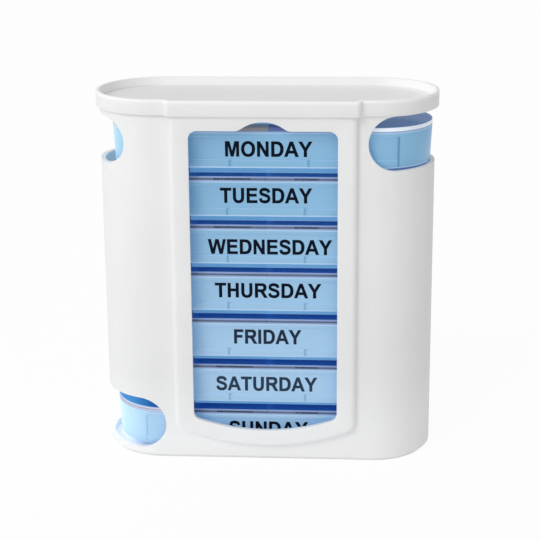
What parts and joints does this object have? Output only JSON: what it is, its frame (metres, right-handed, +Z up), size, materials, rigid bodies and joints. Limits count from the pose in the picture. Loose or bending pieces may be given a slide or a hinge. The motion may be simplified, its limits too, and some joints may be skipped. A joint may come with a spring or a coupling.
{
  "type": "weekly pill drawer organizer",
  "caption": "Upright pill organizer tower with a windowed front, a lift-off cover and stacked four-compartment day trays that slide out at the ends.",
  "frame": {"origin": "middle of the flat resting face", "axes": "+Z up, the windowed front towards -Y, +X to the right as seen from the front"},
  "size_m": [0.1224, 0.0474, 0.1339],
  "materials": {
    "white_plastic": "satin moulded",
    "blue_plastic": "translucent moulded",
    "clear_plastic": "clear tinted"
  },
  "bodies": {
    "tower": {"housing": "white_plastic", "tuesday_tray": "blue_plastic", "wednesday_tray": "blue_plastic", "thursday_tray": "blue_plastic", "friday_tray": "blue_plastic", "saturday_tray": "blue_plastic", "tuesday_lid_1": "clear_plastic", "tuesday_lid_2": "clear_plastic", "tuesday_lid_3": "clear_plastic", "tuesday_lid_4": "clear_plastic", "wednesday_lid_1": "clear_plastic", "wednesday_lid_2": "clear_plastic", "wednesday_lid_3": "clear_plastic", "wednesday_lid_4": "clear_plastic", "thursday_lid_1": "clear_plastic", "thursday_lid_2": "clear_plastic", "thursday_lid_3": "clear_plastic", "thursday_lid_4": "clear_plastic", "friday_lid_1": "clear_plastic", "friday_lid_2": "clear_plastic", "friday_lid_3": "clear_plastic", "friday_lid_4": "clear_plastic", "saturday_lid_1": "clear_plastic", "saturday_lid_2": "clear_plastic", "saturday_lid_3": "clear_plastic", "saturday_lid_4": "clear_plastic"},
    "top_cover": {"top_cover": "white_plastic"},
    "monday_drawer": {"monday_tray": "blue_plastic", "monday_lid_1": "clear_plastic", "monday_lid_2": "clear_plastic", "monday_lid_3": "clear_plastic", "monday_lid_4": "clear_plastic"},
    "sunday_drawer": {"sunday_tray": "blue_plastic", "sunday_lid_1": "clear_plastic", "sunday_lid_2": "clear_plastic", "sunday_lid_3": "clear_plastic", "sunday_lid_4": "clear_plastic"}
  },
  "joints": [
    {"name": "monday_drawer_slide", "type": "slide", "parent": "tower", "child": "monday_drawer", "axis": [1, 0, 0], "range_m": [0, 0.12]},
    {"name": "sunday_drawer_slide", "type": "slide", "parent": "tower", "child": "sunday_drawer", "axis": [-1, 0, 0], "range_m": [0, 0.12]},
    {"name": "top_cover_lift", "type": "slide", "parent": "tower", "child": "top_cover", "axis": [0, 0, 1], "range_m": [0, 0.03]}
  ]
}
